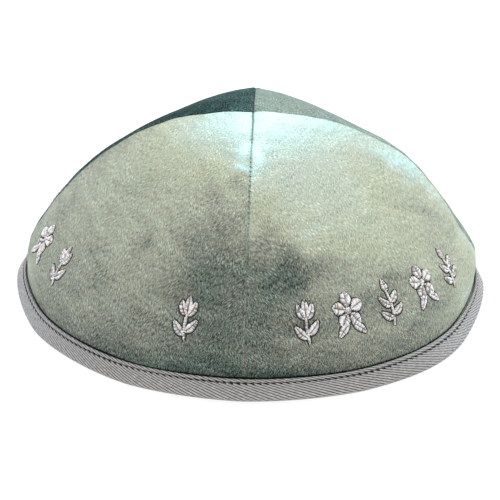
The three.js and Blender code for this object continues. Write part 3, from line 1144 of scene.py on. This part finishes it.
# Lays a dark thread just outside a shape, as painted shadow round the raised satin.
def sewOutline(surface, shape):
    look = threads["outline"]
    stitches = []
    for side in (-1, 1):
        line = []
        for k in range(look["points"]):
            t = k / (look["points"] - 1)
            place, heading = alongSpine(shape["spine"], t)
            left = Vector((-heading.y, heading.x))
            line.append(place + left * side * (halfWidthAt(shape, t) + look["outside"]))
        for start, end in zip(line, line[1:]):
            overlap = (end - start) * look["overlap"]
            stitches.append(planStitch(surface, start - overlap, end + overlap, look["radius"]))
    return stitches


def petalShapes(shape):
    centre = Vector(shape["centre"])
    for number in range(shape["count"]):
        angle = math.pi / 2 + 2 * math.pi * number / shape["count"]
        heading = Vector((math.cos(angle), math.sin(angle)))
        spine = [centre + heading * shape["inner"], None, centre + heading * shape["outer"]]
        spine[1] = (spine[0] + spine[2]) / 2
        yield dict(kind="leaf", spine=spine, width=shape["width"])


def sewMotif(surface, shapes, rng):
    satin, outline = [], []
    for shape in shapes:
        if shape["kind"] == "petals":
            petals, edges = sewMotif(surface, list(petalShapes(shape)), rng)
            satin += petals
            outline += edges
        elif shape["kind"] == "knots":
            places = [Vector(shape["centre"])]
            for number in range(shape["count"]):
                angle = 2 * math.pi * number / shape["count"]
                places.append(places[0] + Vector((math.cos(angle), math.sin(angle))) * shape["reach"])
            radius, arch = threads["knot"]["radius"], threads["knot"]["arch"]
            across = Vector((radius, 0))
            for place in places:
                shade = rng.uniform(*threads["shades"])
                satin.append(planStitch(surface, place - across, place + across, radius, arch, shade=shade))
        else:
            satin += fillWithSatin(surface, shape, rng)
            outline += sewOutline(surface, shape)
    return satin, outline


def makeEmbroidery(quarter, silver, shadowOutlineThread):
    name = panels["gores"][quarter]["name"]
    rng = random.Random(threads["seed"] + quarter)
    satin, outline = [], []
    for motif, turn in embroidery["places"][name]:
        surface = measureCloth(quarter, turn, embroidery["arc"])
        stitches, edges = sewMotif(surface, motifs[motif], rng)
        satin += stitches
        outline += edges
    sewPiece("embroidery_" + name, satin, silver)
    sewPiece("embroidery_shadow_outline_" + name, outline, shadowOutlineThread)


silverThread = makeSilverThread()
for quarter in range(4):
    makeEmbroidery(quarter, silverThread, shadowOutlineThread)
print("embroidery made")


# Floor, light and camera. The floor is a white table lit from below, so it shows next to no shadow.
floorLook = {"halfWidth": 4, "colour": "#8a8a8a", "roughness": 0.9, "glowColour": "#ffffff", "glow": 0.85}
floorMesh = bmesh.new()
bmesh.ops.create_grid(floorMesh, x_segments=2, y_segments=2, size=floorLook["halfWidth"])
floorMaterial, floorTree = newMaterial("litWhiteTable")
floorShader = addNode(
    floorTree,
    "ShaderNodeBsdfPrincipled",
    {
        "Base Color": toLinear(floorLook["colour"]),
        "Roughness": floorLook["roughness"],
        "Emission Color": toLinear(floorLook["glowColour"]),
        "Emission Strength": floorLook["glow"],
    },
)
addNode(floorTree, "ShaderNodeOutputMaterial", {"Surface": floorShader})
floor = finishMesh(floorMesh, "floor", [floorMaterial], smooth=False)

lighting = {
    "skyStrength": 0.7,
    "skyColour": "#ffffff",
    "lights": [
        dict(name="topSoftbox", place=(0.15, 0.4, 0.9), size=0.9, power=11, colour="#fafffe"),
        dict(name="frontFill", place=(-0.5, -1.2, 0.9), size=0.8, power=4, colour="#ffffff"),
        dict(name="rightPanel", place=(0.95, 0.35, 0.25), size=0.6, power=4.5, colour="#d8e8ff"),
        dict(name="leftPanel", place=(-0.95, 0.35, 0.25), size=0.6, power=4, colour="#cfe3ff"),
    ],
}
world = bpy.data.worlds.new("studio")
world.use_nodes = True
world.node_tree.nodes.clear()
sky = addNode(
    world.node_tree,
    "ShaderNodeBackground",
    {"Color": toLinear(lighting["skyColour"]), "Strength": lighting["skyStrength"]},
)
addNode(world.node_tree, "ShaderNodeOutputWorld", {"Surface": sky})
bpy.context.scene.world = world
for settings in lighting["lights"]:
    lightData = bpy.data.lights.new(settings["name"], "AREA")
    lightData.energy = settings["power"]
    lightData.size = settings["size"]
    lightData.color = toLinear(settings["colour"])[:3]
    light = bpy.data.objects.new(settings["name"], lightData)
    light.location = settings["place"]
    light.rotation_euler = (-light.location).to_track_quat("-Z", "Y").to_euler()
    bpy.context.scene.collection.objects.link(light)

view = {
    "distance": 0.725,
    "elevation": 27.5,
    "azimuth": 1.0,  # degrees from the front towards +X
    "tilt": 1.156,  # aimed this far above the middle of the rim
    "roll": 1.16,
    "lens": 135.9,
}


def makeCamera():
    elevation, azimuth = math.radians(view["elevation"]), math.radians(view["azimuth"])
    place = Vector(
        (
            math.sin(azimuth) * math.cos(elevation),
            -math.cos(azimuth) * math.cos(elevation),
            math.sin(elevation),
        )
    )
    camera = bpy.data.objects.new("camera", bpy.data.cameras.new("camera"))
    camera.data.lens = view["lens"]
    facing = place.to_track_quat("Z", "Y").to_matrix().to_4x4()
    tilt = Matrix.Rotation(math.radians(view["tilt"]), 4, "X")
    roll = Matrix.Rotation(math.radians(view["roll"]), 4, "Z")
    camera.matrix_world = Matrix.Translation(place * view["distance"]) @ facing @ roll @ tilt
    bpy.context.scene.collection.objects.link(camera)
    bpy.context.scene.camera = camera


makeCamera()
bpy.context.scene.view_settings.view_transform = "Standard"
print("floor, light and camera made")
